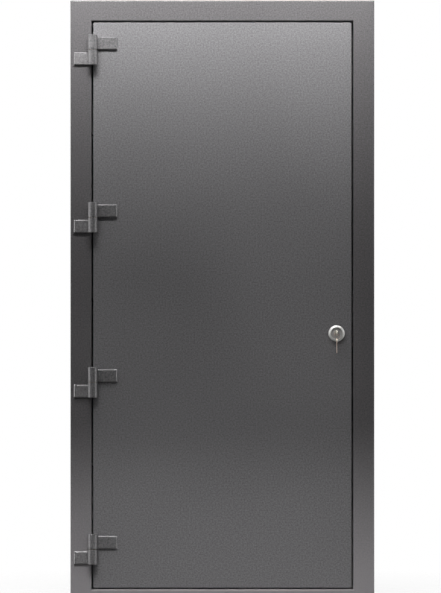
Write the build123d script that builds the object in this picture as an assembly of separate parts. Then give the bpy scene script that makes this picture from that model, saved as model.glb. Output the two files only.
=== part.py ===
# A flush steel security door in its own four-sided frame, seen from the side it opens towards.
#
# The frame is four lengths of folded sheet steel, mitred and welded at the corners. Each length has a
# broad front face, a rebate that the leaf closes into, a stop that carries a rubber seal, and a reveal
# drilled for wall fixings. The leaf is a thick front plate on a mitred ring of folded channels, closed
# by a thin back sheet. It hangs on four welded lift-off hinges, whose barrels stand in front of the gap,
# and three fixed studs lock its hinge edge into the jamb. A key turns the plug of a profile cylinder
# behind a round guarded escutcheon, and carries a small ring with a spare key.
#
# Frame of reference, in millimetres: +X to the lock side, +Y through the wall, away from the hinges,
# and +Z up. The origin is the centre of the sill's underside. The door is modelled shut.

import os

from build123d import *

PARTS = "parts"

# Frame
outer_width = 1000.0
outer_height = 2005.0
frame_depth = 100.0
jamb_face = 70.0
head_face = 68.0
jamb_stop = 30.0
frame_back_lip = 20.0
frame_sheet = 3.0
frame_bend = 1.0  # inside radius of a fold
rebate_depth = 56.0

# Wall fixings, through the reveal and the outer wall of each jamb
fixing_count = 4
fixing_from_end = 222.5  # from the ends of a jamb to its first and last fixing
fixing_radius = 5.5

# Leaf
side_gap = 5.5
top_gap = 5.0
bottom_gap = 5.0
leaf_thickness = 50.0
plate_thickness = 4.0
plate_corner = 6.0
plate_edge = 0.8  # rounding of the front plate's outer edges
body_inset = 12.0  # how far the box behind the plate stands in from the plate's edges
back_sheet_thickness = 2.0
back_corner = 3.0
channel_sheet = 2.0
channel_bend = 1.0
channel_flange = 25.0

# Hinges
upper_hinge_from_top = 163.0  # from the top of the frame to where the top hinge's knuckles meet
upper_pair_pitch = 551.0
lower_hinge_from_bottom = 201.0
lower_pair_pitch = 548.0
hinge_axis_from_side = 74.0
barrel_radius = 16.0
barrel_length = 100.0
barrel_clearance = 2.0  # between the barrels and the faces behind them
barrel_chamfer = 1.2
washer_thickness = 1.4
washer_radius = 13.5
washer_play = 0.1
pin_radius = 8.0
pin_fit = 0.05
pin_into_upper = 34.0
pin_end_room = 2.0
pin_chamfer = 1.0
strap_height = 42.0
strap_thickness = 8.0
strap_edge = 3.0  # chamfer round the front of a strap
strap_under_barrel = 6.0  # how near the axis a strap reaches, under its barrel
leaf_strap_reach = 80.0
frame_strap_reach = 62.5

# Studs on the hinge edge
stud_radius = 7.0
stud_length = 27.0
stud_chamfer = 2.0
stud_hole_clearance = 4.0

# Lock
lock_height = 909.5
lock_from_side = 124.5
faceplate_width = 24.0
faceplate_length = 240.0
faceplate_thickness = 3.0
faceplate_corner = 4.0
bolt_above_cylinder = 40.0
bolt_thickness = 12.0
bolt_height = 35.0
bolt_length = 50.0
bolt_fit = 0.3
bolt_edge = 0.8  # chamfer round the bolt's outer end
case_width = 15.0
case_height = 165.0
case_depth = 88.0
case_below_cylinder = 62.0
case_rounding = 2.0
case_room = 1.0  # round the case, in the window of the stile that it passes through
strike_width = 28.0
strike_length = 180.0
strike_thickness = 2.0
strike_corner = 7.0
strike_bolt_room = 3.0
screw_hole_radius = 2.1
screw_sink_radius = 4.0  # at the face of a plate, from where the sink narrows at 45 degrees
faceplate_screw_from_end = 12.0
strike_screw_from_end = 14.0

# Cylinder and escutcheons
cylinder_radius = 8.5
cylinder_tail_width = 10.0
cylinder_tail_drop = 24.5  # from the plug's axis to the bottom of the tail
cylinder_fit = 0.3
cylinder_nose = 6.6  # how far the round nose stands out of the front plate
cylinder_inner_nose = 6.0
plug_radius = 6.5
plug_fit = 0.05
plug_length = 28.0
keyway_width = 2.7
keyway_height = 8.4
inner_keyway_depth = 8.0
inner_plug_groove = 0.4
escutcheon_radius = 27.0
escutcheon_rim = 2.4
escutcheon_height = 10.0
escutcheon_bore = 18.6
escutcheon_bore_edge = 0.3  # chamfer where the domed edge meets the bore
guard_fit = 0.2
guard_rim_height = 4.4
guard_nose_height = 6.0
guard_hole_fit = 0.3
inner_escutcheon_radius = 26.0
inner_escutcheon_height = 5.0
inner_escutcheon_drop = 8.0
inner_escutcheon_rounding = 2.0
inner_escutcheon_screws = 17.5  # from the middle of the escutcheon to each of its two screws

# Keys and ring
key_thickness = 2.3
key_bow_radius = 11.5
key_bow_hole = 3.0
key_hole_offset = 6.0
key_shoulder_height = 10.5
key_shoulder_length = 2.4  # from the edge of the bow to the stop that meets the plug
key_blade_height = 7.6
key_blade_length = 23.6  # from the stop to the tip
key_tip = 2.2
key_bow_edge = 0.4
key_first_cut = 3.6  # from the stop to the middle of the first cut
key_cut_pitch = 4.0
key_cut_width = 1.2
key_cut_depths = [1.6, 2.8, 1.2, 2.4, 1.8]
key_groove_height = 1.5
key_groove_depth = 0.6
key_groove_drops = {1: 0.6, -1: 2.2}  # below the blade's middle, for its two sides
ward_fit = 0.3  # between a groove of the key and the ward of the keyway that runs in it
ring_radius = 8.6
ring_wire = 0.9
ring_play = 0.3

# Seal
seal_thickness = 5.7
seal_width = 10.0
seal_from_stop_edge = 2.0
seal_rounding = 4.0

# Places worked out from the sizes above
front_y = -frame_depth / 2
back_y = frame_depth / 2
half_width = outer_width / 2
stop_y = front_y + rebate_depth
plate_back_y = front_y + plate_thickness
leaf_back_y = front_y + leaf_thickness
plate_width = outer_width - 2 * (jamb_face + side_gap)
plate_height = outer_height - 2 * head_face - top_gap - bottom_gap
plate_bottom = head_face + bottom_gap
plate_top = plate_bottom + plate_height
body_width = plate_width - 2 * body_inset
body_height = plate_height - 2 * body_inset
body_bottom = plate_bottom + body_inset
body_half = body_width / 2
body_mid_y = (plate_back_y + leaf_back_y) / 2
rebate_x = half_width - jamb_face
fixing_pitch = (outer_height - 2 * fixing_from_end) / (fixing_count - 1)
top_hinge = outer_height - upper_hinge_from_top
low_hinge = lower_hinge_from_bottom
hinge_heights = [top_hinge, top_hinge - upper_pair_pitch, low_hinge + lower_pair_pitch, low_hinge]
stud_heights = [(upper + lower) / 2 for upper, lower in zip(hinge_heights, hinge_heights[1:])]
axis_x = -half_width + hinge_axis_from_side
axis_y = front_y - barrel_radius - barrel_clearance
lock_x = half_width - lock_from_side
bolt_z = lock_height + bolt_above_cylinder
case_bottom = lock_height - case_below_cylinder
case_top = case_bottom + case_height


def save(shape, node):
    """Writes one node's STEP file."""
    export_step(shape, os.path.join(PARTS, f"{node}.step"))


def folded(points, radii, sheet):
    """The section of a folded sheet, whose thickness lies to the left of its outer line."""
    line = FilletPolyline(*points, radius=radii)
    return make_face(offset(line, amount=sheet, side=Side.LEFT, closed=True))


def frame_section(face, stop):
    """Section of one side of the frame: across from its outer edge, and back from its front face."""
    outside = frame_sheet + frame_bend
    inner = face + stop
    points = [
        (frame_back_lip, frame_depth),
        (0, frame_depth),
        (0, 0),
        (face, 0),
        (face, rebate_depth),
        (inner, rebate_depth),
        (inner, frame_depth),
        (inner - frame_back_lip, frame_depth),
    ]
    radii = [outside, outside, outside, frame_bend, outside, outside]
    return folded(points, radii, frame_sheet)


def channel_section():
    """Section of one side of the leaf's ring: a channel open towards the middle of the leaf."""
    outside = channel_sheet + channel_bend
    depth = leaf_thickness - plate_thickness - back_sheet_thickness
    points = [(channel_flange, depth), (0, depth), (0, 0), (channel_flange, 0)]
    return folded(points, [outside, outside], channel_sheet)


def mitred_ring(width, height, bottom, y, side_section, end_section, side_mitre, end_mitre):
    """Four lengths of section round a rectangle, cut along the lines from outer to inner corners."""
    half = width / 2
    top = bottom + height
    left = Plane((-half, y, bottom), x_dir=(1, 0, 0), z_dir=(0, 0, 1))
    right = Plane((half, y, top), x_dir=(-1, 0, 0), z_dir=(0, 0, -1))
    upper = Plane((-half, y, top), x_dir=(0, 0, -1), z_dir=(1, 0, 0))
    lower = Plane((half, y, bottom), x_dir=(0, 0, 1), z_dir=(-1, 0, 0))

    def mitre(side, end):
        corner = (side * half, y, top if end > 0 else bottom)
        return Plane(corner, x_dir=(0, 1, 0), z_dir=(side * end_mitre, 0, -end * side_mitre))

    def cut(plane, section, length, first, second, keep):
        bar = extrude(plane * section, amount=length)
        return split(split(bar, bisect_by=first, keep=keep), bisect_by=second, keep=keep)

    return {
        "left": cut(left, side_section, height, mitre(-1, 1), mitre(-1, -1), Keep.TOP),
        "right": cut(right, side_section, height, mitre(1, 1), mitre(1, -1), Keep.TOP),
        "top": cut(upper, end_section, width, mitre(-1, 1), mitre(1, 1), Keep.BOTTOM),
        "bottom": cut(lower, end_section, width, mitre(-1, -1), mitre(1, -1), Keep.BOTTOM),
    }


def block(x0, x1, y0, y1, z0, z1):
    """A box between two corners."""
    size = (x1 - x0, y1 - y0, z1 - z0)
    return Pos((x0 + x1) / 2, (y0 + y1) / 2, (z0 + z1) / 2) * Box(*size)


def rod_along_x(x0, x1, y, z, radius):
    """A round bar along X."""
    return Pos((x0 + x1) / 2, y, z) * Rot(0, 90, 0) * Cylinder(radius, x1 - x0)


def sunk_hole(plane, x, y, thickness):
    """What to cut from a plate for a countersunk screw. The plane lies on the plate's face, facing out."""
    sink_depth = screw_sink_radius - screw_hole_radius
    far = thickness + sink_depth
    section = Polyline(
        (0, 0),
        (screw_sink_radius, 0),
        (screw_hole_radius, -sink_depth),
        (screw_hole_radius, -far),
        (0, -far),
        close=True,
    )
    return plane * Pos(x, y) * revolve(Plane.XZ * make_face(section), Axis.Z)


def euro_profile(growth=0.0):
    """The profile cylinder's section: a round head with a narrower rounded tail below it."""
    tail_radius = cylinder_tail_width / 2 + growth
    tail = cylinder_tail_drop - cylinder_tail_width / 2
    neck = Pos(0, -tail / 2) * Rectangle(2 * tail_radius, tail)
    return Circle(cylinder_radius + growth) + neck + Pos(0, -tail) * Circle(tail_radius)


def facing_out(y):
    """A plane at the lock whose local z points out of the front of the door, with local y upwards."""
    return Plane((lock_x, y, lock_height), x_dir=(1, 0, 0), z_dir=(0, -1, 0))


def make_frame():
    """The four sides of the frame, with their holes, the seal on the stop and the strike plate.

    The jambs are wider than the head and sill, so their mitres aren't at 45 degrees. The stops are in
    the same proportion as the faces, which keeps every fold on the line of the mitre.
    """
    head_stop = jamb_stop * head_face / jamb_face
    sides = mitred_ring(
        outer_width,
        outer_height,
        0,
        front_y,
        frame_section(jamb_face, jamb_stop),
        frame_section(head_face, head_stop),
        jamb_face,
        head_face,
    )
    hinge_jamb = sides["left"]
    lock_jamb = sides["right"]

    reveal_x = half_width - jamb_face - jamb_stop
    fixing_y = (stop_y + back_y) / 2
    for index in range(fixing_count):
        z = fixing_from_end + index * fixing_pitch
        through = frame_sheet
        hinge_jamb -= rod_along_x(-half_width - through, -reveal_x + through, fixing_y, z, fixing_radius)
        lock_jamb -= rod_along_x(reveal_x - through, half_width + through, fixing_y, z, fixing_radius)

    for z in stud_heights:
        hole = stud_radius + stud_hole_clearance
        hinge_jamb -= rod_along_x(-rebate_x - 2 * frame_sheet, -rebate_x + frame_sheet, body_mid_y, z, hole)

    room_y = bolt_thickness / 2 + strike_bolt_room
    room_z = bolt_height / 2 + strike_bolt_room
    bolt_room = block(
        rebate_x - 2 * strike_thickness,
        rebate_x + 2 * frame_sheet,
        body_mid_y - room_y,
        body_mid_y + room_y,
        bolt_z - room_z,
        bolt_z + room_z,
    )
    lock_jamb -= bolt_room
    strike_outline = Plane((rebate_x, body_mid_y, bolt_z), x_dir=(0, 1, 0), z_dir=(-1, 0, 0))
    strike = strike_outline * RectangleRounded(strike_width, strike_length, strike_corner)
    strike_plate = extrude(strike, amount=strike_thickness) - bolt_room
    strike_face = strike_outline.offset(strike_thickness)
    for end in (-1, 1):
        from_middle = end * (strike_length / 2 - strike_screw_from_end)
        strike_plate -= sunk_hole(strike_face, 0, from_middle, strike_thickness)

    seal_half = half_width - jamb_face - jamb_stop + seal_from_stop_edge
    seal_end = head_face + head_stop - seal_from_stop_edge
    seal_middle = outer_height / 2
    inner = Rectangle(2 * seal_half, outer_height - 2 * seal_end)
    outer = Rectangle(2 * (seal_half + seal_width), outer_height - 2 * (seal_end - seal_width))
    seal_plane = Plane((0, stop_y, seal_middle), x_dir=(1, 0, 0), z_dir=(0, -1, 0))
    seal = extrude(seal_plane * (outer - inner), amount=seal_thickness)
    seal = fillet(seal.faces().sort_by(Axis.Y)[0].edges(), seal_rounding)

    save(hinge_jamb, "hinge_jamb")
    save(lock_jamb, "lock_jamb")
    save(sides["top"], "head")
    save(sides["bottom"], "sill")
    save(strike_plate, "strike_plate")
    save(seal, "frame_seal")


def make_leaf():
    """The front plate, the ring of channels behind it, the back sheet and the hinge-edge studs."""
    cylinder_outline = facing_out(leaf_back_y + cylinder_fit) * euro_profile(cylinder_fit)
    through_leaf = extrude(cylinder_outline, amount=leaf_thickness + 2 * cylinder_fit)

    middle = (plate_bottom + plate_top) / 2
    plate_plane = Plane((0, plate_back_y, middle), x_dir=(1, 0, 0), z_dir=(0, -1, 0))
    plate_outline = RectangleRounded(plate_width, plate_height, plate_corner)
    plate = extrude(plate_plane * plate_outline, amount=plate_thickness)
    plate = fillet(plate.faces().sort_by(Axis.Y)[0].edges(), plate_edge)
    save(plate - through_leaf, "leaf_front_plate")

    ring = mitred_ring(
        body_width,
        body_height,
        body_bottom,
        plate_back_y,
        channel_section(),
        channel_section(),
        1,
        1,
    )
    window = block(
        body_half - 2 * channel_sheet,
        body_half + channel_sheet,
        body_mid_y - case_width / 2 - case_room,
        body_mid_y + case_width / 2 + case_room,
        case_bottom - case_room,
        case_top + case_room,
    )
    save(ring["left"], "leaf_hinge_stile")
    save(ring["right"] - window, "leaf_lock_stile")
    save(ring["top"], "leaf_top_rail")
    save(ring["bottom"], "leaf_bottom_rail")

    back_plane = Plane((0, leaf_back_y, middle), x_dir=(1, 0, 0), z_dir=(0, -1, 0))
    back_outline = RectangleRounded(body_width, body_height, back_corner)
    back = extrude(back_plane * back_outline, amount=back_sheet_thickness)
    save(back - through_leaf, "leaf_back_sheet")

    studs = []
    for z in stud_heights:
        stud = rod_along_x(-body_half - stud_length, -body_half, body_mid_y, z, stud_radius)
        tip = stud.faces().sort_by(Axis.X)[0].edges()
        studs.append(chamfer(tip, stud_chamfer))
    save(Compound(children=studs), "hinge_edge_studs")


def make_hinges():
    """Four lift-off hinges: a strap and lower knuckle with a pin on the frame, and the leaf's pair."""
    washers = []
    pins = []
    bore = pin_radius + pin_fit
    knuckle = (barrel_length - washer_thickness) / 2
    nearest = strap_under_barrel
    for number, meeting in enumerate(hinge_heights, start=1):
        low = meeting - barrel_length / 2
        lower_top = low + knuckle
        upper_low = lower_top + washer_thickness
        axis = Pos(axis_x, axis_y, 0)

        lower = axis * Pos(0, 0, low + knuckle / 2) * Cylinder(barrel_radius, knuckle)
        lower = chamfer(lower.edges().filter_by(GeomType.CIRCLE), barrel_chamfer)
        lower -= axis * Pos(0, 0, low + knuckle / 2) * Cylinder(bore, 2 * knuckle)
        save(lower, f"hinge_{number}_lower_knuckle")

        upper = axis * Pos(0, 0, upper_low + knuckle / 2) * Cylinder(barrel_radius, knuckle)
        upper = chamfer(upper.edges().filter_by(GeomType.CIRCLE), barrel_chamfer)
        blind = pin_into_upper + pin_end_room
        upper -= axis * Pos(0, 0, upper_low + blind / 2) * Cylinder(bore, blind)
        save(upper, f"hinge_{number}_upper_knuckle")

        thickness = washer_thickness - washer_play
        washer = Cylinder(washer_radius, thickness) - Cylinder(bore, thickness)
        washers.append(axis * Pos(0, 0, lower_top + thickness / 2) * washer)

        pin_top = upper_low + pin_into_upper
        pin = axis * Pos(0, 0, (low + pin_top) / 2) * Cylinder(pin_radius, pin_top - low)
        pins.append(chamfer(pin.edges().filter_by(GeomType.CIRCLE), pin_chamfer))

        round_barrel = axis * Pos(0, 0, meeting) * Cylinder(barrel_radius, 2 * barrel_length)
        strap_front = front_y - strap_thickness
        frame_strap = block(
            axis_x - frame_strap_reach,
            axis_x - nearest,
            strap_front,
            front_y,
            low,
            low + strap_height,
        )
        frame_strap = strap_with_soft_edges(frame_strap, Axis.X, 0)
        save(frame_strap - round_barrel, f"hinge_{number}_frame_strap")

        leaf_strap = block(
            axis_x + nearest,
            axis_x + leaf_strap_reach,
            strap_front,
            front_y,
            upper_low,
            upper_low + strap_height,
        )
        leaf_strap = strap_with_soft_edges(leaf_strap, Axis.X, -1)
        save(leaf_strap - round_barrel, f"hinge_{number}_leaf_strap")
    save(Compound(children=washers), "hinge_washers")
    save(Compound(children=pins), "hinge_pins")


def strap_with_soft_edges(strap, along, free_end):
    """Chamfers the front of a strap along its top, its bottom and its free end."""
    front = strap.faces().sort_by(Axis.Y)[0]
    long_edges = front.edges().filter_by(along)
    end_edge = front.edges().filter_by(Axis.Z).sort_by(along)[free_end]
    return chamfer(long_edges + [end_edge], strap_edge)


def make_lock_edge():
    """The faceplate in the lock edge, the case behind it, and the bolt that slides in both."""
    plate_plane = Plane((body_half, body_mid_y, lock_height), x_dir=(0, 1, 0), z_dir=(1, 0, 0))
    faceplate = extrude(
        plate_plane * RectangleRounded(faceplate_width, faceplate_length, faceplate_corner),
        amount=faceplate_thickness,
    )
    outer_x = body_half + faceplate_thickness
    half_y = bolt_thickness / 2
    half_z = bolt_height / 2
    bolt = block(
        outer_x - bolt_length,
        outer_x,
        body_mid_y - half_y,
        body_mid_y + half_y,
        bolt_z - half_z,
        bolt_z + half_z,
    )
    bolt = chamfer(bolt.faces().sort_by(Axis.X)[-1].edges(), bolt_edge)
    bolt_window = block(
        body_half - faceplate_thickness,
        outer_x + faceplate_thickness,
        body_mid_y - half_y - bolt_fit,
        body_mid_y + half_y + bolt_fit,
        bolt_z - half_z - bolt_fit,
        bolt_z + half_z + bolt_fit,
    )
    faceplate -= bolt_window
    plate_face = plate_plane.offset(faceplate_thickness)
    end_screws = faceplate_length / 2 - faceplate_screw_from_end
    tail_centre = cylinder_tail_drop - cylinder_tail_width / 2
    for height in (end_screws, -end_screws, -tail_centre):
        faceplate -= sunk_hole(plate_face, 0, height, faceplate_thickness)
    save(faceplate, "lock_faceplate")
    save(bolt, "deadbolt")

    case = block(
        body_half - case_depth,
        body_half,
        body_mid_y - case_width / 2,
        body_mid_y + case_width / 2,
        case_bottom,
        case_top,
    )
    case = fillet(case.faces().sort_by(Axis.X)[0].edges(), case_rounding)
    bolt_tunnel = block(
        outer_x - bolt_length - bolt_fit,
        outer_x,
        body_mid_y - half_y - bolt_fit,
        body_mid_y + half_y + bolt_fit,
        bolt_z - half_z - bolt_fit,
        bolt_z + half_z + bolt_fit,
    )
    cylinder_hole = extrude(facing_out(leaf_back_y) * euro_profile(cylinder_fit), amount=leaf_thickness)
    save(case - bolt_tunnel - cylinder_hole, "lock_case")


def make_lock():
    """The escutcheons and the profile cylinder."""
    dome = escutcheon_height - escutcheon_rim
    straight = Polyline(
        (escutcheon_radius - dome, escutcheon_height),
        (escutcheon_bore + escutcheon_bore_edge, escutcheon_height),
        (escutcheon_bore, escutcheon_height - escutcheon_bore_edge),
        (escutcheon_bore, 0),
        (escutcheon_radius, 0),
        (escutcheon_radius, escutcheon_rim),
    )
    domed_edge = CenterArc((escutcheon_radius - dome, escutcheon_rim), dome, 0, 90)
    ring = revolve(Plane.XZ * make_face(straight.edges() + domed_edge.edges()), Axis.Z)
    save(facing_out(front_y) * ring, "outer_escutcheon")

    guard_radius = escutcheon_bore - guard_fit
    guard_hole = cylinder_radius + guard_hole_fit
    guard_section = Polyline(
        (guard_hole, 0),
        (guard_radius, 0),
        (guard_radius, guard_rim_height),
        (guard_hole, guard_nose_height),
        close=True,
    )
    guard = revolve(Plane.XZ * make_face(guard_section), Axis.Z)
    save(facing_out(front_y) * guard, "guard_disc")

    inner_nose_y = leaf_back_y + cylinder_inner_nose
    body = extrude(facing_out(inner_nose_y) * euro_profile(), amount=inner_nose_y - front_y)
    body += extrude(facing_out(front_y) * Circle(cylinder_radius), amount=cylinder_nose)
    plug_back_y = front_y - cylinder_nose + plug_length
    plug_bore = extrude(facing_out(plug_back_y) * Circle(plug_radius + plug_fit), amount=plug_length + 1)
    body -= plug_bore
    inner_keyway = facing_out(inner_nose_y - inner_keyway_depth) * Rectangle(keyway_width, keyway_height)
    body -= extrude(inner_keyway, amount=-inner_keyway_depth - 1)
    groove = Circle(plug_radius + inner_plug_groove) - Circle(plug_radius)
    body -= extrude(facing_out(inner_nose_y) * groove, amount=inner_plug_groove)
    save(body, "lock_cylinder")

    inner_plane = Plane(
        (lock_x, leaf_back_y, lock_height - inner_escutcheon_drop), x_dir=(1, 0, 0), z_dir=(0, 1, 0)
    )
    inner = extrude(inner_plane * Circle(inner_escutcheon_radius), amount=inner_escutcheon_height)
    inner = fillet(inner.faces().sort_by(Axis.Y)[-1].edges(), inner_escutcheon_rounding)
    cylinder_start = facing_out(leaf_back_y + 2 * inner_escutcheon_height)
    inner -= extrude(cylinder_start * euro_profile(cylinder_fit), amount=3 * inner_escutcheon_height)
    inner_face = inner_plane.offset(inner_escutcheon_height)
    for side in (-1, 1):
        inner -= sunk_hole(inner_face, side * inner_escutcheon_screws, 0, inner_escutcheon_height)
    save(inner, "inner_escutcheon")


def key_shape():
    """A flat key in its own plane: bow at the origin, blade along +X, with a row of cuts on its top.

    A groove runs along each side of the blade, and the two are at different heights.
    """
    stop = key_bow_radius + key_shoulder_length
    tip = stop + key_blade_length
    half = key_blade_height / 2
    point = tip - key_tip
    blade = make_face(Polyline((0, -half), (point, -half), (tip, 0), (point, half), (0, half), close=True))
    shoulder = Pos(stop / 2, 0) * Rectangle(stop, key_shoulder_height)
    outline = Circle(key_bow_radius) + shoulder + blade - Pos(-key_hole_offset, 0) * Circle(key_bow_hole)
    for index, depth in enumerate(key_cut_depths):
        at = stop + key_first_cut + index * key_cut_pitch
        floor = half - depth
        slope = depth / 2 + key_cut_width / 2
        outline -= make_face(
            Polyline(
                (at - slope, half),
                (at - key_cut_width / 2, floor),
                (at + key_cut_width / 2, floor),
                (at + slope, half),
                close=True,
            )
        )
    key = extrude(outline, amount=key_thickness / 2, both=True)
    for side, drop in key_groove_drops.items():
        floor = side * (key_thickness / 2 - key_groove_depth)
        key -= block(
            stop,
            tip + key_tip,
            -drop - key_groove_height / 2,
            -drop + key_groove_height / 2,
            min(floor, side * key_thickness),
            max(floor, side * key_thickness),
        )
    bow_edges = key.edges().filter_by(GeomType.CIRCLE).filter_by(lambda edge: edge.radius > key_bow_hole)
    return chamfer(bow_edges, key_bow_edge)


def keyway_section():
    """The slot that the key slides in, with a ward on each wall that fits a groove of the key."""
    slot = Rectangle(keyway_width, keyway_height)
    for side, drop in key_groove_drops.items():
        ward_top = key_thickness / 2 - key_groove_depth + ward_fit
        ward_middle = side * (ward_top + keyway_width / 2) / 2
        ward_height = key_groove_height - 2 * ward_fit
        slot -= Pos(ward_middle, -drop) * Rectangle(keyway_width / 2 - ward_top, ward_height)
    return slot


def make_keys():
    """The rotating plug with its key, and the ring and spare key that hang from the key's bow."""
    plug_face_y = front_y - cylinder_nose
    plug = extrude(facing_out(plug_face_y + plug_length) * Circle(plug_radius), amount=plug_length)
    keyway = facing_out(plug_face_y + plug_length) * keyway_section()
    plug -= extrude(keyway, amount=plug_length)
    save(plug, "cylinder_plug")

    bow_y = plug_face_y - key_shoulder_length - key_bow_radius
    key = key_shape()
    in_lock = Plane((lock_x, bow_y, lock_height), x_dir=(0, 1, 0), z_dir=(1, 0, 0))
    save(in_lock * key, "key")

    hole_y = bow_y - key_hole_offset
    wire_drop = key_bow_hole - ring_wire - ring_play
    ring_z = lock_height - wire_drop - ring_radius
    ring_plane = Plane((lock_x, hole_y, ring_z), x_dir=(1, 0, 0), z_dir=(0, -1, 0))
    save(ring_plane * Torus(ring_radius, ring_wire), "key_ring")

    spare_hole_z = ring_z - ring_radius - wire_drop
    hanging = Plane((lock_x, hole_y, spare_hole_z - key_hole_offset), x_dir=(0, 0, -1), z_dir=(1, 0, 0))
    save(hanging * key, "spare_key")


os.makedirs(PARTS, exist_ok=True)
make_frame()
make_leaf()
make_hinges()
make_lock_edge()
make_lock()
make_keys()
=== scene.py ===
# %% [markdown]
# # A steel security door, from bare metal to a studio photograph
#
# The engineering model of this door comes in with every sheet, hinge and key at its real size and place.
# What it lacks is a finish. This notebook gives each piece its coating or plating, adds the small things
# that a drawing leaves out, and lights the door as a catalogue photographer would.

# %% Load the door
import math

import bmesh
import bpy
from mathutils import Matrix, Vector


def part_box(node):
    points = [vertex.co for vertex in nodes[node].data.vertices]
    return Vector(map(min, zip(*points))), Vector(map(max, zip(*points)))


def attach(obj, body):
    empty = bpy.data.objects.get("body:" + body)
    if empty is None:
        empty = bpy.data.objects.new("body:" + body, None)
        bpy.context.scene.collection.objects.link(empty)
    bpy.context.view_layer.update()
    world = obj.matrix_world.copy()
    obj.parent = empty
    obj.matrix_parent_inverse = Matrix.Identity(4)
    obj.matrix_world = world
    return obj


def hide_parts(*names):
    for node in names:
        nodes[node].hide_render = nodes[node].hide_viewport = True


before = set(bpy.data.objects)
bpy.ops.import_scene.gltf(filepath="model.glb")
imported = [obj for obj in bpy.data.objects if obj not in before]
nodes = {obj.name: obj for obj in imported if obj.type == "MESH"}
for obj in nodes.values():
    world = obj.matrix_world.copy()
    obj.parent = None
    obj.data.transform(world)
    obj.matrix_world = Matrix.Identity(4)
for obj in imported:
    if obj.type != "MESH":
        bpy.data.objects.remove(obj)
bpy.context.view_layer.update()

# %% [markdown]
# ## Where things are
#
# Every later step needs a few places: the axis of the lock, the front and the height of the frame, and how
# many hinges there are. They are read from the model and not typed in, so a change to the door carries
# through.

# %% Measure the door
MM = 0.001


def middle(node):
    """The middle of a node's box."""
    low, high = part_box(node)
    return (low + high) / 2


lock = middle("cylinder_plug")
jamb_low, jamb_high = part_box("hinge_jamb")
head_low, head_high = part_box("head")
door_height = jamb_high.z - jamb_low.z
door_width = head_high.x - head_low.x
front_y = jamb_low.y
hinge_numbers = range(1, 1 + sum(name.endswith("leaf_strap") for name in nodes))
print("frame", round(door_width, 3), "by", round(door_height, 3), "m, with its front at y", round(front_y, 3))
print("lock axis at x", round(lock.x, 4), "z", round(lock.z, 4), "and", len(hinge_numbers), "hinges")

# %% [markdown]
# ## Finishes as expressions
#
# A finish in Blender is a graph of nodes. Wiring a graph by hand hides the idea behind the wires, so two
# small classes let it be written as arithmetic. A `Term` is one output of a node: adding, subtracting or
# multiplying it adds a Math node. A `Finish` owns the graph and makes every other kind of node with one
# method, which sets the node's own settings before its sockets.


# %% Terms
class Term:
    """One output of a shader node, which works in arithmetic like a number."""

    def __init__(self, finish, socket):
        self.finish = finish
        self.socket = socket

    def math(self, operation, *values):
        return self.finish.node("ShaderNodeMath", {"operation": operation}, dict(enumerate(values)))

    def __add__(self, other):
        return self.math("ADD", self, other)

    def __sub__(self, other):
        return self.math("SUBTRACT", self, other)

    def __mul__(self, other):
        return self.math("MULTIPLY", self, other)

    def __rsub__(self, other):
        return self.math("SUBTRACT", other, self)

    __radd__ = __add__
    __rmul__ = __mul__

    def output(self, name):
        """Another output of the same node."""
        return Term(self.finish, self.socket.node.outputs[name])


# %% Finishes
class Finish:
    """The node graph of a material or a world, built from terms."""

    def __init__(self, owner):
        owner.use_nodes = True
        self.owner = owner
        self.tree = owner.node_tree
        self.tree.nodes.clear()

    def node(self, kind, settings=None, sockets=None, output=0):
        """Adds a node, sets it up, fills or links its sockets, and gives one of its outputs."""
        made = self.tree.nodes.new(kind)
        for name, value in (settings or {}).items():
            setattr(made, name, value)
        for name, value in (sockets or {}).items():
            if isinstance(value, Term):
                self.tree.links.new(value.socket, made.inputs[name])
            else:
                made.inputs[name].default_value = value
        return Term(self, made.outputs[output]) if made.outputs else None

    def place(self):
        """The point on the surface, in metres, in the door's own frame."""
        return self.node("ShaderNodeTexCoord", output="Object")

    def moved(self, vector, offset=(0, 0, 0), scale=(1, 1, 1)):
        """A vector less an offset, then stretched along each axis."""
        shifted = self.node("ShaderNodeVectorMath", {"operation": "SUBTRACT"}, {0: vector, 1: offset})
        return self.node("ShaderNodeVectorMath", {"operation": "MULTIPLY"}, {0: shifted, 1: scale})

    def length(self, vector):
        """How long a vector is."""
        return self.node("ShaderNodeVectorMath", {"operation": "LENGTH"}, {0: vector}, "Value")

    def noise(self, vector, size, detail=2.0, roughness=0.5):
        """Soft noise from 0 to 1, with blotches of about the given size in metres."""
        sockets = {"Vector": vector, "Scale": 1 / size, "Detail": detail, "Roughness": roughness}
        return self.node("ShaderNodeTexNoise", {}, sockets, "Fac")

    def blend(self, mask, low, high):
        """A colour that goes from low to high as the mask goes from 0 to 1."""
        return self.node("ShaderNodeMix", {"data_type": "RGBA"}, {0: mask, 6: low, 7: high}, 2)

    def ramp(self, value, start, end):
        """A value stretched so that start becomes 0 and end becomes 1, and held between them."""
        limits = {"From Min": start, "From Max": end}
        return self.node("ShaderNodeMapRange", {"clamp": True}, {"Value": value, **limits})

    def bump(self, height, depth, under=None):
        """A normal that makes a height from 0 to 1 look as deep as the given metres."""
        sockets = {"Height": height, "Distance": depth, "Strength": 1.0}
        if under is not None:
            sockets["Normal"] = under
        return self.node("ShaderNodeBump", {}, sockets, "Normal")

    def surface(self, sockets):
        """Ends a material with a Principled shader and gives the material."""
        shader = self.node("ShaderNodeBsdfPrincipled", {}, sockets)
        self.node("ShaderNodeOutputMaterial", {}, {"Surface": shader})
        return self.owner


# %% Colours and where materials go
def colour(red, green=None, blue=None):
    """A colour for a socket. One number gives a grey."""
    return (red, red if green is None else green, red if blue is None else blue, 1.0)


def share_of(pigment, share):
    """A pigment made darker or lighter by one factor, as a colour."""
    return colour(*(share * part for part in pigment))


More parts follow.
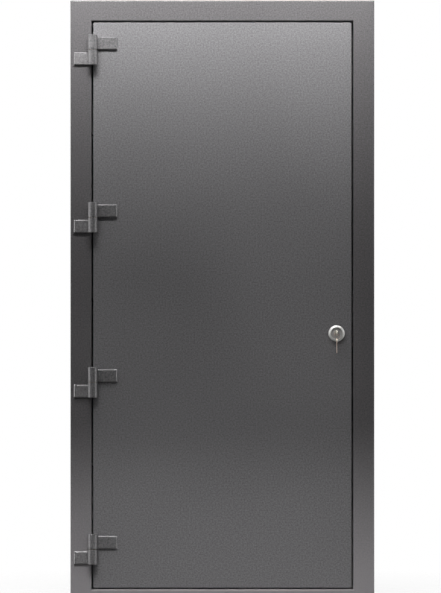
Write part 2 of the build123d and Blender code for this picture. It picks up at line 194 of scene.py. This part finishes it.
def give(material, *names):
    """Puts a material on CAD nodes, by name, and says how many."""
    for name in names:
        for slot in nodes[name].material_slots:
            slot.material = material
    print(material.name, "is on", len(names), "of the pieces")


# %% [markdown]
# ## Powder coat
#
# The whole door is coated in the same way: dry powder with tiny metal flakes is sprayed on the steel and
# baked until it flows. It never flows quite flat. Up close it has a grain that starts at about five
# millimetres and gets ever finer, over a slower swell, and single flakes glint. From afar it is faintly
# cloudy. One flat grey would read as plastic. A tiled picture of real coating would repeat, and would have
# to be stretched round every fold. Noise in metres has neither fault, so the colour, the roughness and the
# surface each take it at those real sizes.
#
# The frame's grey is painted paler from thigh height down to the floor. This painted brightening stands in
# for light from below.

# %% Sizes and strengths of the coat
cloud_size = 300 * MM
swell_size = 12 * MM
grain_size = 5 * MM
flake_size = 1.1 * MM
flake_start = 0.82
swell_depth = 0.03 * MM
grain_depth = 0.25 * MM

even_shade = 0.93
cloud_shade = 0.10
grain_shade = 2.7
flake_shade = 0.10
darkest_shade = 0.5
lightest_shade = 2.5

cloud_rough = 0.06
grain_rough = 0.30
flake_rough = 0.05

# Painted light from below: between these heights the frame's grey gets paler towards the floor.
painted_light_bottom = 0.04
painted_light_top = 0.62
print("coat: grain of", round(grain_size / MM, 1), "mm, painted_lighter below", painted_light_top, "m")


# %% Powder coat
def powder_coat(name, pigment, roughness, metal, specular=0.5, painted_foot_light=0.0):
    """A metallic powder coat: pigment is its grey, and metal its share of flake.

    The last argument is how much paler its foot is painted, as a share of the pigment: painted light from
    below.
    """
    finish = Finish(bpy.data.materials.new(name))
    place = finish.place()
    cloud = finish.noise(place, cloud_size, detail=3.0)
    grain = finish.noise(place, grain_size, detail=4.0, roughness=0.85)
    swell = finish.noise(place, swell_size, detail=1.0)
    cells = finish.node("ShaderNodeTexVoronoi", {}, {"Vector": place, "Scale": 1 / flake_size}, "Color")
    chance = finish.node("ShaderNodeSeparateColor", {}, {"Color": cells})
    flake = finish.ramp(chance, flake_start, 1.0)
    height = finish.node("ShaderNodeSeparateXYZ", {}, {"Vector": place}, "Z")
    # Painted light: this mask grows towards the floor and makes the foot paler.
    foot = finish.ramp(height, painted_light_top, painted_light_bottom)

    coating = even_shade + cloud_shade * cloud + grain_shade * (grain - 0.5) + flake_shade * flake
    shade = finish.ramp(coating + painted_foot_light * foot, darkest_shade, lightest_shade)
    base = finish.blend(shade, share_of(pigment, darkest_shade), share_of(pigment, lightest_shade))
    rough = roughness + cloud_rough * (cloud - 0.5) + grain_rough * (grain - 0.5) - flake_rough * flake
    surface = finish.bump(grain, grain_depth, finish.bump(swell, swell_depth))
    sockets = {"Base Color": base, "Metallic": metal, "Roughness": rough, "Normal": surface}
    return finish.surface({**sockets, "Specular IOR Level": specular})


# %% [markdown]
# ## One coat for each batch
#
# Frame, leaf and hinges are coated as separate batches, and each comes out a little different in grey and in
# flake. The photograph shows it: the frame is the flattest and darkest, the leaf has more metal in it, and
# the hinges are the brightest. The straps on the frame get a lighter copy of the hinge coat, and that extra
# lightness is painted light that stands in for the light the straps catch. One coat with masks could hold all
# four, but a material for each batch is easier to read and to change.

# %% Coat the door
frame_grey = (0.063, 0.060, 0.062)
leaf_grey = (0.120, 0.117, 0.121)
hinge_grey = (0.150, 0.147, 0.150)
# A lighter copy of the hinge grey for the frame straps: the extra lightness is painted light.
lit_strap_grey = (0.185, 0.180, 0.183)
# The frame's foot is painted paler, which stands in for light from below.
frame_coat = powder_coat("frame_powder_coat", frame_grey, 0.50, metal=0.10, specular=0.3, painted_foot_light=1.65)
leaf_coat = powder_coat("leaf_powder_coat", leaf_grey, 0.50, metal=0.40)
hinge_coat = powder_coat("hinge_powder_coat", hinge_grey, 0.36, metal=0.60)
lit_strap_coat = powder_coat("lit_frame_strap_coat", lit_strap_grey, 0.40, metal=0.60)

give(frame_coat, "hinge_jamb", "lock_jamb", "head", "sill", "strike_plate")
give(leaf_coat, *(name for name in nodes if name.startswith("leaf_")))
hinge_parts = ("leaf_strap", "lower_knuckle", "upper_knuckle")
give(hinge_coat, *(f"hinge_{number}_{part}" for part in hinge_parts for number in hinge_numbers))
give(lit_strap_coat, *(f"hinge_{number}_frame_strap" for number in hinge_numbers))

# %% [markdown]
# ## Drawn and plated steel
#
# The bolt, its faceplate, the lock case and the hinge pins are not coated, because paint would rub off where
# they slide. They are rolled or drawn steel with a thin zinc plating. The studs on the hinge edge are
# blackened, a real finish, and their near-black also serves as painted shade in the gap round them. The
# washers between the knuckles are dark with oil. Drawing leaves fine lines along the length. Cutting them
# into the mesh would take millions of faces, so a noise stretched along Z draws them in the roughness and the
# bump, and a softer noise adds the faint stains of the plating.


# %% Plated steel
# Nearly all of a noise lies in this band, so a ramp over it uses its whole range.
noise_band = (0.3, 0.7)


def plated_steel(name, metal, stretch, roughness):
    """A plated metal with drawing lines along the axis that stretch makes long."""
    line_width = 0.9 * MM
    line_depth = 0.02 * MM
    stain_size = 12 * MM
    line_share = 0.6
    line_rough = 0.16
    stain_rough = 0.14
    dull_share = 0.78
    finish = Finish(bpy.data.materials.new(name))
    place = finish.place()
    lines = finish.noise(finish.moved(place, scale=stretch), line_width, detail=4.0, roughness=0.7)
    stains = finish.noise(place, stain_size, detail=3.0)
    shade = finish.ramp(line_share * lines + (1 - line_share) * stains, *noise_band)
    base = finish.blend(shade, share_of(metal, dull_share), colour(*metal))
    rough = roughness + line_rough * (lines - 0.5) + stain_rough * (stains - 0.5)
    scratched = finish.bump(lines, line_depth)
    return finish.surface({"Base Color": base, "Metallic": 1.0, "Roughness": rough, "Normal": scratched})


upright = (1.0, 1.0, 0.04)
every_way = (1.0, 1.0, 1.0)
bright_steel = plated_steel("zinc_plated_steel", (0.46, 0.46, 0.455), upright, 0.36)
# Blackened studs: a real finish whose near-black also serves as painted shade in the hinge gap.
blackened_steel = plated_steel("blackened_steel", (0.035, 0.035, 0.037), upright, 0.5)
oiled_washer = plated_steel("oiled_washer", (0.16, 0.13, 0.09), every_way, 0.48)
give(bright_steel, "lock_faceplate", "lock_case", "deadbolt", "hinge_pins")
give(blackened_steel, "hinge_edge_studs")
give(oiled_washer, "hinge_washers")

# %% [markdown]
# ## Turned metal round the lock
#
# The escutcheon, its hardened guard disc and the cylinder are turned on a lathe. The tool leaves rings
# round the axis, and those rings stretch every highlight into a fan. An anisotropic shader gives the fan
# but no rings. Here the distance from the lock's axis drives a one-dimensional noise, which makes rings
# that are all a little different, and they shape the highlight by themselves. Fingers leave soft smudges.


# %% Turned metal
def turned_metal(name, metal, roughness, ring_width, ring_depth):
    """A metal with lathe rings of the given width and depth round the lock's axis."""
    smudge_size = 8 * MM
    ring_share = 0.7
    ring_rough = 0.10
    smudge_rough = 0.16
    dull_share = 0.8
    finish = Finish(bpy.data.materials.new(name))
    place = finish.place()
    radius = finish.length(finish.moved(place, offset=lock, scale=(1.0, 0.0, 1.0)))
    sockets = {"W": radius, "Scale": 1 / ring_width, "Detail": 3.0, "Roughness": 0.7}
    rings = finish.node("ShaderNodeTexNoise", {"noise_dimensions": "1D"}, sockets, "Fac")
    smudge = finish.noise(place, smudge_size, detail=3.0)
    shade = finish.ramp(ring_share * rings + (1 - ring_share) * smudge, *noise_band)
    base = finish.blend(shade, share_of(metal, dull_share), colour(*metal))
    rough = roughness + ring_rough * (rings - 0.5) + smudge_rough * (smudge - 0.5)
    cut = finish.bump(rings, ring_depth)
    return finish.surface({"Base Color": base, "Metallic": 1.0, "Roughness": rough, "Normal": cut})


satin_nickel = turned_metal("satin_nickel", (0.77, 0.77, 0.75), 0.52, 0.8 * MM, 0.01 * MM)
guard_steel = turned_metal("hardened_guard_steel", (0.52, 0.51, 0.51), 0.50, 1.6 * MM, 0.04 * MM)
cylinder_nickel = turned_metal("cylinder_nickel", (0.62, 0.60, 0.56), 0.30, 0.6 * MM, 0.01 * MM)
give(satin_nickel, "outer_escutcheon", "inner_escutcheon")
give(guard_steel, "guard_disc")
give(cylinder_nickel, "lock_cylinder", "cylinder_plug")

# %% [markdown]
# ## Keys and their ring
#
# Keys are stamped from nickel silver or brass, plated, and then carried in pockets. Their colour is uneven
# where the plating has rubbed away, and fine scratches cross the metal. Painting the wear by hand would
# give the most control, but these pieces are a few centimetres long, so two noises do it: a broad one
# chooses the rubbed patches, and a stretched one roughens their rims and draws the scratches.


# %% Key metal
def pocket_worn_metal(name, plating, core, wear):
    """A key metal whose plating is rubbed away in patches to show its core."""
    patch_size = 6 * MM
    scratch_width = 0.4 * MM
    scratch_depth = 0.01 * MM
    ragged_rim = 0.2
    rub_start, rub_end = 0.62, 0.78
    clean_rough, scratch_rough, rub_rough = 0.36, 0.2, 0.1
    finish = Finish(bpy.data.materials.new(name))
    place = finish.place()
    patches = finish.noise(place, patch_size, detail=4.0, roughness=0.6)
    scratches = finish.noise(finish.moved(place, scale=(1.0, 0.15, 1.0)), scratch_width)
    rubbed = finish.ramp(patches + ragged_rim * (scratches - 0.5), rub_start - wear, rub_end - wear)
    base = finish.blend(rubbed, colour(*plating), colour(*core))
    rough = clean_rough + scratch_rough * scratches + rub_rough * rubbed
    marked = finish.bump(scratches, scratch_depth)
    return finish.surface({"Base Color": base, "Metallic": 1.0, "Roughness": rough, "Normal": marked})


nickel_silver = pocket_worn_metal("nickel_silver", (0.70, 0.66, 0.60), (0.62, 0.51, 0.38), 0.0)
worn_brass = pocket_worn_metal("worn_brass", (0.95, 0.82, 0.72), (0.80, 0.64, 0.53), 0.15)
ring_steel = pocket_worn_metal("worn_ring_steel", (0.46, 0.36, 0.31), (0.34, 0.24, 0.20), 0.1)
give(nickel_silver, "key")
give(worn_brass, "spare_key")
give(ring_steel, "key_ring")

# %% [markdown]
# ## Seal
#
# The seal lies on the stop of the frame, behind the leaf. It is extruded rubber: dark, dull and a little
# dusty. Plain black with some gloss would look like wet plastic. What says rubber is a high roughness that
# goes higher still where dust has settled, so one noise drives both the dust's colour and its roughness,
# and a fine one gives the surface its pores.


# %% Seal rubber
def seal_rubber():
    """Extruded door-seal rubber with a bloom of dust."""
    dust_size = 30 * MM
    pore_size = 0.6 * MM
    pore_depth = 0.04 * MM
    dust_band = (0.45, 0.8)
    clean_rough, dust_rough = 0.62, 0.2
    finish = Finish(bpy.data.materials.new("seal_rubber"))
    place = finish.place()
    dust = finish.ramp(finish.noise(place, dust_size, detail=4.0, roughness=0.6), *dust_band)
    pores = finish.noise(place, pore_size)
    base = finish.blend(dust, colour(0.012), colour(0.035, 0.034, 0.032))
    rough = clean_rough + dust_rough * dust
    return finish.surface({"Base Color": base, "Roughness": rough, "Normal": finish.bump(pores, pore_depth)})


give(seal_rubber(), "frame_seal")

# %% [markdown]
# ## Screws
#
# Countersunk screws hold the faceplate in the edge of the leaf, the strike plate in the jamb and the inner
# escutcheon on the back. The model has their holes and leaves the screws out. A screw could be a turned
# body with a cross cut out of it by a boolean, which leaves long thin faces. Here it is a stack of outlines
# round one axis: shank, cone, a slightly crowned head, and a cross recess that narrows with depth. The
# same number of points on each outline lets plain four-sided faces join them.


# %% Stack of outlines
def stacked(name, outlines, origin, facing):
    """A closed mesh through outlines, given as lists of (across, up, out) in metres, facing a direction."""
    crease = math.radians(35)
    turn = Vector(facing).to_track_quat("Z", "Y").to_matrix()
    form = bmesh.new()
    loops = [[form.verts.new(Vector(origin) + turn @ Vector(point)) for point in line] for line in outlines]
    for lower, upper in zip(loops, loops[1:]):
        for index in range(len(lower)):
            after = (index + 1) % len(lower)
            form.faces.new((lower[index], lower[after], upper[after], upper[index]))
    form.faces.new(list(reversed(loops[0])))
    form.faces.new(loops[-1])
    mesh = bpy.data.meshes.new(name)
    form.to_mesh(mesh)
    form.free()
    mesh.shade_smooth()
    mesh.set_sharp_from_angle(angle=crease)
    piece = bpy.data.objects.new(name, mesh)
    bpy.context.scene.collection.objects.link(piece)
    return piece


# %% Outlines of a screw
outline_points = 64
almost_zero = 1e-6
turns = [2 * math.pi * index / outline_points for index in range(outline_points)]


def round_outline(radius, out):
    """A circle of points at one height, in millimetres."""
    return [(radius * MM * math.cos(t), radius * MM * math.sin(t), out * MM) for t in turns]


def cross_outline(length, width, out):
    """A cross of points at one height, with arms of the given half length and half width, in millimetres."""
    points = []
    for t in turns:
        c = max(abs(math.cos(t)), almost_zero)
        s = max(abs(math.sin(t)), almost_zero)
        reach = MM * max(min(length / c, width / s), min(length / s, width / c))
        points.append((reach * math.cos(t), reach * math.sin(t), out * MM))
    return points


# A circle is given by its radius and height, a cross by half its length, half its width and its height.
tip = [round_outline(1.3, -9.0), round_outline(1.9, -8.0)]
cone = [round_outline(1.9, -1.95), round_outline(3.75, -0.1)]
crown = [round_outline(3.75, 0.0), round_outline(3.3, 0.12), round_outline(2.5, 0.18)]
recess = [cross_outline(2.05, 0.48, 0.2), cross_outline(1.95, 0.42, 0.05), cross_outline(0.9, 0.3, -1.4)]
screw_outlines = tip + cone + crown + recess
print("a screw has", len(screw_outlines), "outlines of", outline_points, "points")


# %% One screw
def countersunk_screw(name, origin, facing, body):
    """A screw whose head fills the sink of a hole, with its face at the origin."""
    screw = stacked(name, screw_outlines, origin, facing)
    screw.data.materials.append(bright_steel)
    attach(screw, body)


# %% Screws of the faceplate and the strike plate
faceplate_low, faceplate_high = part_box("lock_faceplate")
strike_low, strike_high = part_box("strike_plate")
end_room = 12.0 * MM
retainer_drop = 19.5 * MM
strike_room = 14.0 * MM
edge_middle = (faceplate_low.y + faceplate_high.y) / 2
faceplate_heights = {
    "top": faceplate_high.z - end_room,
    "cylinder": lock.z - retainer_drop,
    "bottom": faceplate_low.z + end_room,
}
strike_heights = {"top": strike_high.z - strike_room, "bottom": strike_low.z + strike_room}
for where, z in faceplate_heights.items():
    countersunk_screw(f"faceplate_screw_{where}", (faceplate_high.x, edge_middle, z), (1, 0, 0), "leaf")
for where, z in strike_heights.items():
    countersunk_screw(f"strike_screw_{where}", (strike_low.x, edge_middle, z), (-1, 0, 0), "frame")

# %% Screws of the inner escutcheon
inner_middle = middle("inner_escutcheon")
inner_face_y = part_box("inner_escutcheon")[1].y
screw_offset = 17.5 * MM
for where, side in {"left": -1, "right": 1}.items():
    origin = (inner_middle.x + side * screw_offset, inner_face_y, inner_middle.z)
    countersunk_screw(f"inner_escutcheon_screw_{where}", origin, (0, 1, 0), "leaf")

# %% [markdown]
# ## Split ring
#
# A key ring is a steel wire wound twice round, so that a key can be threaded on between the turns. The
# model has a plain ring of the same size. A ring of solid mesh with a groove round it would look nearly
# right, but its ends would be missing. Here a curve of two turns takes its place: its wire is half as
# thick, the turns lie side by side, and each end steps across where it leaves its neighbour.

# %% Path of the split ring
ring_low, ring_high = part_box("key_ring")
ring_middle = middle("key_ring")
wire_radius = (ring_high.y - ring_low.y) / 4
coil_radius = (ring_high.z - ring_low.z) / 2 - wire_radius
coil_turns = 2
points_per_turn = 48
start_angle = math.radians(20)
step_share = 0.12
path = []
for index in range(coil_turns * points_per_turn - 1):
    turn = index / points_per_turn
    crossing = min(max((turn - 1 + step_share / 2) / step_share, 0.0), 1.0)
    eased = crossing * crossing * (3 - 2 * crossing)
    along = (eased - 0.5) * 2 * wire_radius
    angle = 2 * math.pi * turn + start_angle
    path.append((coil_radius * math.cos(angle), along, coil_radius * math.sin(angle)))
print("split ring:", coil_turns, "turns of", round(2 * wire_radius / MM, 2), "mm wire")

# %% Split ring
coil = bpy.data.curves.new("split_ring", "CURVE")
coil.dimensions = "3D"
coil.bevel_depth = wire_radius
coil.bevel_resolution = 4
coil.use_fill_caps = True
wire = coil.splines.new("POLY")
wire.points.add(len(path) - 1)
for point, place in zip(wire.points, path):
    point.co = (*(ring_middle + Vector(place)), 1.0)
split_ring = bpy.data.objects.new("split_ring", coil)
bpy.context.scene.collection.objects.link(split_ring)
coil.materials.append(ring_steel)
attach(split_ring, "key_ring")
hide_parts("key_ring")
print("the wire's path has", len(wire.points), "points")

# %% [markdown]
# ## The studio
#
# The photograph is a straight-on catalogue picture on white. The door's flat faces look towards the dark
# side of the studio, where the camera is. Everything that turns away from it, such as the round barrels
# and every bevel, catches the bright side walls. Large glowing panels could stand there, but their edges
# would show in the metal. A world whose light depends only on direction has no edges. It is bright at both
# sides, the right a little more, weaker behind the door, and dim above, below and towards the camera. The
# camera itself sees plain white.

# %% How bright the studio is in each direction
left_wall_light = 2.3
right_wall_light = 2.8
back_light = 1.1
ceiling_light = 0.2
floor_light = 0.08
camera_side_light = 0.06
side_band = (-0.3, 0.3)
back_band = (0.4, 0.8)
ceiling_band = (0.3, 0.7)
floor_band = (-0.1, -0.5)
camera_band = (-0.15, -0.5)

# %% Room
studio = bpy.data.worlds.new("studio")
bpy.context.scene.world = studio
room = Finish(studio)
seen = room.node("ShaderNodeLightPath", output="Is Camera Ray")
direction = room.node("ShaderNodeTexCoord", output="Generated")
up = room.node("ShaderNodeSeparateXYZ", {}, {"Vector": direction}, "Z")
above = room.ramp(up, *ceiling_band)
below = room.ramp(up, *floor_band)
to_right = room.ramp(up.output("X"), *side_band)
to_camera = room.ramp(up.output("Y"), *camera_band)
to_back = room.ramp(up.output("Y"), *back_band)
sides = left_wall_light + to_right * (right_wall_light - left_wall_light)
walls = sides + to_back * (back_light - sides)
around = walls + above * (ceiling_light - walls) + below * (floor_light - walls)
light = around + to_camera * (camera_side_light - around)
grey = room.node("ShaderNodeCombineColor", {}, {0: light, 1: light, 2: light})
shown = room.blend(seen, grey, colour(1.0))
backdrop = room.node("ShaderNodeBackground", {}, {"Color": shown, "Strength": 1.0})
room.node("ShaderNodeOutputWorld", {}, {"Surface": backdrop})
print("room: walls of", left_wall_light, "and", right_wall_light, "and", len(room.tree.nodes), "nodes")

# %% [markdown]
# ## Floor
#
# The door stands on a sheet of white paper. A real sheet throws so much light back up that the shadows
# under the hinge straps would fill in. So the paper is white for the camera and grey for every other ray.
# For the camera it also glows, which keeps the door's shadow as light as in a catalogue. Towards its rim it
# turns clear, so that it leaves no horizon on the white backdrop.

# %% Floor
floor_radius = 2.0
fade_start = 0.6
fade_end = 1.8
fibre_size = 4 * MM
glow_share = 0.8
paper_for_light = colour(0.3)
# The darker grey is painted shade in the hollows between the paper's fibres. A noise mixes it with the
# fibres' own grey.
paper_shade_hollow = colour(0.80)
paper_fibre = colour(0.84)

floor_mesh = bpy.data.meshes.new("studio_floor")
outline = bmesh.new()
bmesh.ops.create_circle(outline, cap_ends=True, segments=96, radius=floor_radius)
outline.to_mesh(floor_mesh)
outline.free()
floor = bpy.data.objects.new("studio_floor", floor_mesh)
bpy.context.scene.collection.objects.link(floor)
print("floor:", 2 * floor_radius, "m across")

# %% Paper
paper = Finish(bpy.data.materials.new("studio_paper"))
paper_place = paper.place()
fade = paper.ramp(paper.length(paper_place), fade_start, fade_end)
fibres = paper.noise(paper_place, fibre_size, detail=3.0)
looked_at = paper.node("ShaderNodeLightPath", output="Is Camera Ray")
paper_colour = paper.blend(looked_at, paper_for_light, paper.blend(fibres, paper_shade_hollow, paper_fibre))
sheet = paper.node("ShaderNodeBsdfDiffuse", {}, {"Color": paper_colour})
white = paper.node("ShaderNodeEmission", {}, {"Color": colour(1.0), "Strength": 1.0})
clear = paper.node("ShaderNodeBsdfTransparent")
lit = paper.node("ShaderNodeMixShader", {}, {0: looked_at * glow_share, 1: sheet, 2: white})
both = paper.node("ShaderNodeMixShader", {}, {0: fade, 1: lit, 2: clear})
paper.node("ShaderNodeOutputMaterial", {}, {"Surface": both})
floor_mesh.materials.append(paper.owner)
print("paper fades out from", fade_start, "to", fade_end, "m")

# %% [markdown]
# ## Lights
#
# The leaf in the photograph is brightest at the top, darkest a little below the middle, and pale again at
# the foot. One big lamp in front would light it evenly and flat. Instead four long, thin strips hang close
# to the door and graze it from above: the top and head softboxes make the bright upper half, the middle
# and low ones lift the rest. Because they are steep, each hinge strap throws a dark band below itself. A
# large, weak softbox on the left rounds off the barrels and the escutcheon, and a very small one touches
# the lock. A narrow spread keeps a strip's light on its own part of the door.


# %% Softbox
def softbox(name, place, aim, width, height, power, spread=180.0):
    """A rectangular lamp at a place, turned towards a point, with its beam narrowed to a spread."""
    lamp = bpy.data.lights.new(name, "AREA")
    lamp.shape = "RECTANGLE"
    lamp.size = width
    lamp.size_y = height
    lamp.energy = power
    lamp.spread = math.radians(spread)
    holder = bpy.data.objects.new(name, lamp)
    holder.visible_camera = False
    holder.location = place
    holder.rotation_euler = (Vector(aim) - Vector(place)).to_track_quat("-Z", "Y").to_euler()
    bpy.context.scene.collection.objects.link(holder)
    print(name, power, "W at", place)


# %% Lights
softbox("top_softbox", (-0.15, -0.85, 2.75), (-0.1, front_y, 1.8), 2.4, 0.1, power=15.4, spread=64.0)
softbox("head_softbox", (-0.1, -0.45, 2.4), (-0.1, front_y, 2.0), 1.4, 0.05, power=3.2, spread=60.0)
softbox("middle_softbox", (-0.2, -1.2, 1.9), (-0.05, front_y, 0.2), 1.6, 0.1, power=2.3, spread=42.0)
softbox("low_softbox", (0.0, -0.8, 1.1), (0.0, front_y, -0.2), 2.4, 0.1, power=4.6, spread=52.0)
softbox("left_softbox", (-1.6, -1.2, 1.9), (0.37, front_y, 0.9), 1.4, 1.4, power=6.0)
softbox("lock_softbox", (-0.35, -0.7, 1.65), (0.345, front_y, 0.9), 0.15, 0.15, power=0.15, spread=36.0)

# %% [markdown]
# ## The camera
#
# The picture is taken from far away with a long lens, which keeps the door's edges parallel. A camera
# without perspective would do that too, but it would flatten the barrels and the escutcheon. Three
# readings from the photograph fix the framing: where the frame's left edge and top edge lie, and how many
# pixels the frame is across.

# %% Camera
photo_width = 441
photo_height = 593
frame_left_pixel = 70.4
frame_top_pixel = 0.43
frame_pixels_across = 303.96
camera_distance = 12.0
sensor = 36.0

per_pixel = door_width / frame_pixels_across
centre_x = -door_width / 2 + (photo_width / 2 - frame_left_pixel) * per_pixel
centre_z = door_height - (photo_height / 2 - frame_top_pixel) * per_pixel
camera_data = bpy.data.cameras.new("camera")
camera_data.sensor_width = sensor
camera_data.lens = sensor * camera_distance / (photo_height * per_pixel)
camera_data.clip_end = 100.0
camera = bpy.data.objects.new("camera", camera_data)
camera.location = (centre_x, front_y - camera_distance, centre_z)
camera.rotation_euler = (math.pi / 2, 0.0, 0.0)
bpy.context.scene.collection.objects.link(camera)
bpy.context.scene.camera = camera
bpy.context.scene.view_settings.view_transform = "Standard"
print("lens", round(camera_data.lens, 1), "mm,", round(per_pixel / MM, 3), "mm to a pixel")
